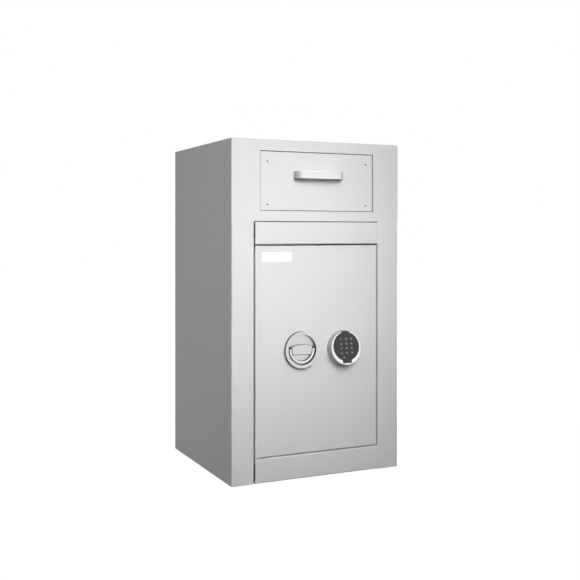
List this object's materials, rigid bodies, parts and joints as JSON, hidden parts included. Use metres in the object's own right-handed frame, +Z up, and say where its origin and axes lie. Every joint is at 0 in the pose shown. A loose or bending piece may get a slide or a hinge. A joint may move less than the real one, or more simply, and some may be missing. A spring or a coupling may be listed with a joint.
{
  "type": "drop safe with deposit drawer",
  "caption": "Floor-standing steel drop safe with a pull-out deposit drawer above a hinged door that has a folding turn handle and a round keypad lock.",
  "frame": {"origin": "centre of the cabinet footprint on the plane it stands on", "axes": "+Z up, the front with the drawer and the door faces -Y, +X is to the right of someone facing the front"},
  "size_m": [0.444, 0.4431, 0.8],
  "materials": {
    "cabinet_paint": "light grey powder coat, faint orange peel, semi-matt",
    "inner_paint": "light grey powder coat inside the cabinet and on the back of the door",
    "satin_nickel": "satin nickel plate with soft wide highlights",
    "bright_trim": "bright silver plated die casting",
    "plain_steel": "ground steel",
    "zinc_steel": "zinc plated sheet steel with a faint spangle",
    "black_plastic": "black moulded plastic, fine matt texture",
    "key_plastic": "dark grey soft rubber keys with pale numbers",
    "nylon": "natural nylon",
    "board_filling": "grey fibre board filling inside the double wall",
    "blank_plate": "plain white plastic plate without any print"
  },
  "bodies": {
    "cabinet": {"left_side_panel": "cabinet_paint", "right_side_panel": "cabinet_paint", "back_panel": "cabinet_paint", "roof_panel": "cabinet_paint", "base_panel": "cabinet_paint", "upper_front_plate": "cabinet_paint", "header_panel": "cabinet_paint", "sill_panel": "cabinet_paint", "deck_plate": "inner_paint", "inner_liner": "inner_paint", "wall_filling": "board_filling", "chute_collar": "inner_paint", "guide_plate_left": "zinc_steel", "guide_plate_right": "zinc_steel", "rail_left": "zinc_steel", "rail_right": "zinc_steel", "ramp_left": "zinc_steel", "ramp_right": "zinc_steel", "hinge_pin_upper": "plain_steel", "hinge_pin_lower": "plain_steel"},
    "drawer": {"drawer_front_plate": "cabinet_paint", "drawer_box": "zinc_steel", "floor_hinge_rod": "plain_steel", "runner_left": "plain_steel", "runner_right": "plain_steel", "drawer_pull": "satin_nickel"},
    "deposit_floor": {"tilting_floor": "zinc_steel", "floor_glide_left": "nylon", "floor_glide_right": "nylon"},
    "door": {"door_plate": "cabinet_paint", "door_pan": "inner_paint", "door_back_cover": "inner_paint", "dog_bar": "plain_steel", "blank_label": "blank_plate", "handle_collar": "satin_nickel", "keypad_housing": "bright_trim", "keypad_insert": "black_plastic", "lock_case": "zinc_steel"},
    "handle": {"handle_dish": "satin_nickel", "cam_disc": "zinc_steel", "bail_pin": "plain_steel"},
    "bail": {"bail_grip": "satin_nickel"},
    "bolt_carriage": {"draw_bar": "zinc_steel", "bolt_bar": "zinc_steel", "bolt_lower": "plain_steel", "bolt_middle": "plain_steel", "bolt_upper": "plain_steel"},
    "lock_bolt_body": {"lock_bolt": "plain_steel"},
    "key_1_body": {"key_1": "key_plastic"},
    "key_2_body": {"key_2": "key_plastic"},
    "key_3_body": {"key_3": "key_plastic"},
    "key_4_body": {"key_4": "key_plastic"},
    "key_5_body": {"key_5": "key_plastic"},
    "key_6_body": {"key_6": "key_plastic"},
    "key_7_body": {"key_7": "key_plastic"},
    "key_8_body": {"key_8": "key_plastic"},
    "key_9_body": {"key_9": "key_plastic"},
    "key_clear_body": {"key_clear": "key_plastic"},
    "key_0_body": {"key_0": "key_plastic"},
    "key_enter_body": {"key_enter": "key_plastic"}
  },
  "joints": [
    {"name": "door_hinge", "type": "hinge", "parent": "cabinet", "child": "door", "pos_m": [-0.1557, -0.201, 0.306], "axis": [0, 0, -1], "range_deg": [0, 100]},
    {"name": "handle_turn", "type": "hinge", "parent": "door", "child": "handle", "pos_m": [-0.046, -0.213, 0.3055], "axis": [0, 1, 0], "range_deg": [0, 90]},
    {"name": "bail_fold", "type": "hinge", "parent": "handle", "child": "bail", "pos_m": [-0.046, -0.2142, 0.3105], "axis": [-1, 0, 0], "range_deg": [0, 90]},
    {"name": "bolt_throw", "type": "slide", "parent": "door", "child": "bolt_carriage", "axis": [1, 0, 0], "range_m": [0, 0.02]},
    {"name": "lock_bolt_slide", "type": "slide", "parent": "door", "child": "lock_bolt_body", "axis": [0, 0, -1], "range_m": [0, 0.008]},
    {"name": "drawer_slide", "type": "slide", "parent": "cabinet", "child": "drawer", "axis": [0, -1, 0], "range_m": [0, 0.2]},
    {"name": "floor_tilt", "type": "hinge", "parent": "drawer", "child": "deposit_floor", "pos_m": [0, -0.183, 0.6602], "axis": [1, 0, 0], "range_deg": [0, 22]},
    {"name": "key_1_press", "type": "slide", "parent": "door", "child": "key_1_body", "axis": [0, 0.9877, -0.1564], "range_m": [0, 0.001], "stiffness_N_per_m": 250},
    {"name": "key_2_press", "type": "slide", "parent": "door", "child": "key_2_body", "axis": [0, 0.9877, -0.1564], "range_m": [0, 0.001], "stiffness_N_per_m": 250},
    {"name": "key_3_press", "type": "slide", "parent": "door", "child": "key_3_body", "axis": [0, 0.9877, -0.1564], "range_m": [0, 0.001], "stiffness_N_per_m": 250},
    {"name": "key_4_press", "type": "slide", "parent": "door", "child": "key_4_body", "axis": [0, 0.9877, -0.1564], "range_m": [0, 0.001], "stiffness_N_per_m": 250},
    {"name": "key_5_press", "type": "slide", "parent": "door", "child": "key_5_body", "axis": [0, 0.9877, -0.1564], "range_m": [0, 0.001], "stiffness_N_per_m": 250},
    {"name": "key_6_press", "type": "slide", "parent": "door", "child": "key_6_body", "axis": [0, 0.9877, -0.1564], "range_m": [0, 0.001], "stiffness_N_per_m": 250},
    {"name": "key_7_press", "type": "slide", "parent": "door", "child": "key_7_body", "axis": [0, 0.9877, -0.1564], "range_m": [0, 0.001], "stiffness_N_per_m": 250},
    {"name": "key_8_press", "type": "slide", "parent": "door", "child": "key_8_body", "axis": [0, 0.9877, -0.1564], "range_m": [0, 0.001], "stiffness_N_per_m": 250},
    {"name": "key_9_press", "type": "slide", "parent": "door", "child": "key_9_body", "axis": [0, 0.9877, -0.1564], "range_m": [0, 0.001], "stiffness_N_per_m": 250},
    {"name": "key_clear_press", "type": "slide", "parent": "door", "child": "key_clear_body", "axis": [0, 0.9877, -0.1564], "range_m": [0, 0.001], "stiffness_N_per_m": 250},
    {"name": "key_0_press", "type": "slide", "parent": "door", "child": "key_0_body", "axis": [0, 0.9877, -0.1564], "range_m": [0, 0.001], "stiffness_N_per_m": 250},
    {"name": "key_enter_press", "type": "slide", "parent": "door", "child": "key_enter_body", "axis": [0, 0.9877, -0.1564], "range_m": [0, 0.001], "stiffness_N_per_m": 250}
  ],
  "couplings": [
    {"joint": "bolt_throw", "follows": "handle_turn", "m_per_rad": 0.012732},
    {"joint": "floor_tilt", "follows": "drawer_slide", "rad_per_m": 1.9199}
  ]
}
